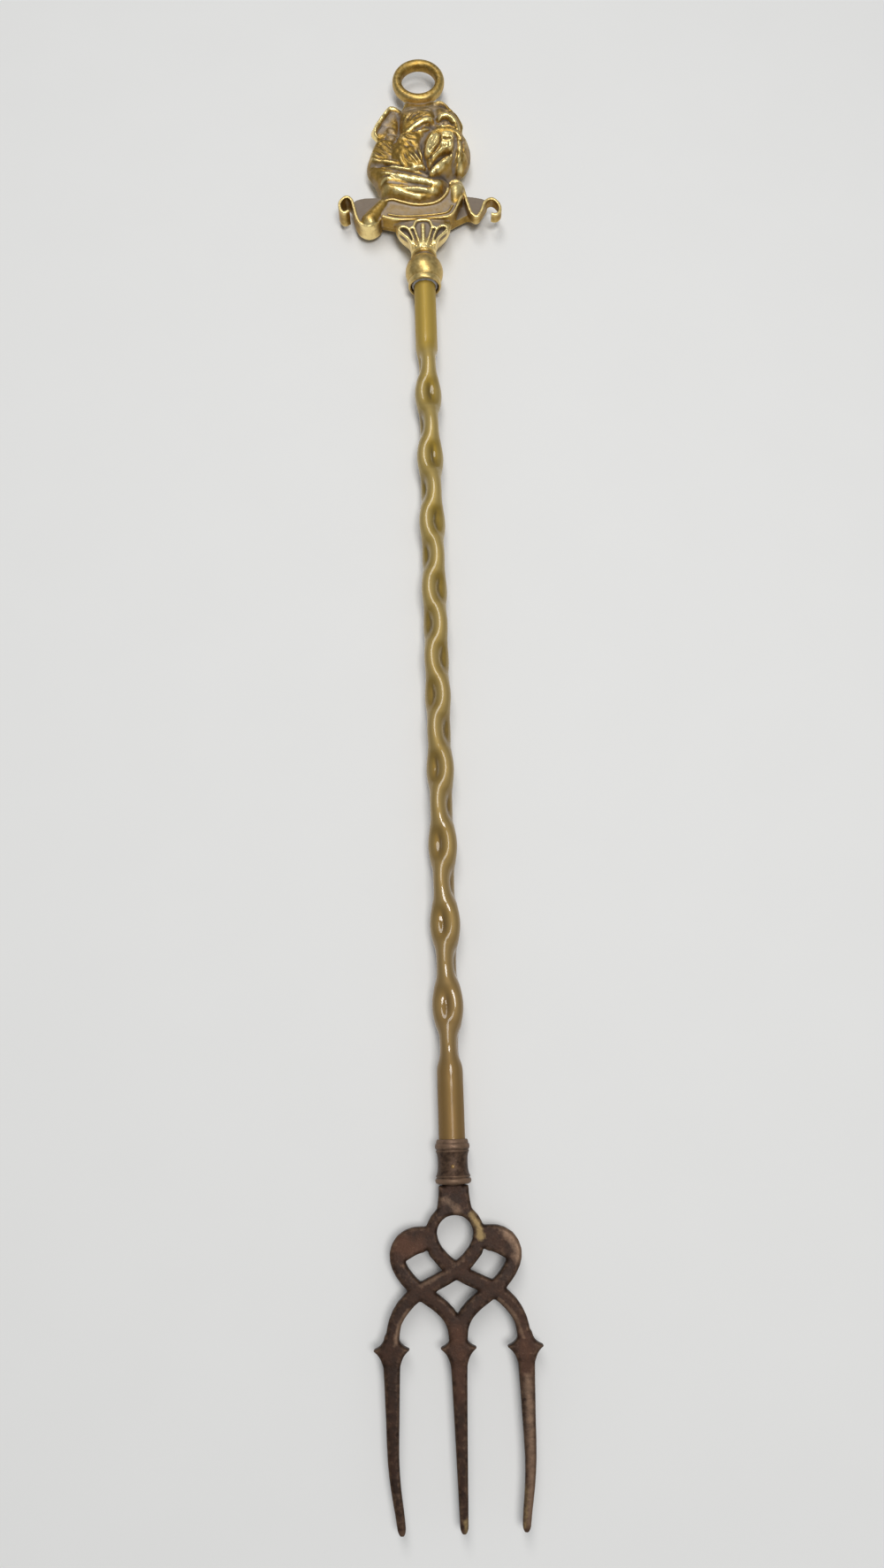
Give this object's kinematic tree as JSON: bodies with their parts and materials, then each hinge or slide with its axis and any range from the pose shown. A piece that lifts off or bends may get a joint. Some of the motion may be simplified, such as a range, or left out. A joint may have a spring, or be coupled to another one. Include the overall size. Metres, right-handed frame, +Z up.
{
  "type": "toasting fork",
  "caption": "Brass toasting fork with a crimped tube stem, a dog's-head finial over a scroll, a hanging ring and an openwork fork head with barbed tines.",
  "frame": {"origin": "on the table the fork lies on, under the middle of its length and of its stem", "axes": "+X across the fork, +Y along the stem towards the hanging ring, +Z up out of the front of the dog's head"},
  "size_m": [0.0618, 0.512, 0.0167],
  "materials": {
    "cast_brass": "aged casting, polished on its high points, grey-brown in its recesses",
    "tube_brass": "satin, olive-toned",
    "dark_brass": "dark brown from heat, worn lighter on its edges",
    "solder": "dull grey"
  },
  "bodies": {
    "root": {"hanging_ring": "cast_brass", "dog_head_finial": "cast_brass", "ball_knop": "cast_brass", "socket_solder": "solder", "stem_tube": "tube_brass", "fork_ferrule": "dark_brass", "ferrule_pin": "tube_brass", "fork_head": "dark_brass"}
  },
  "joints": []
}
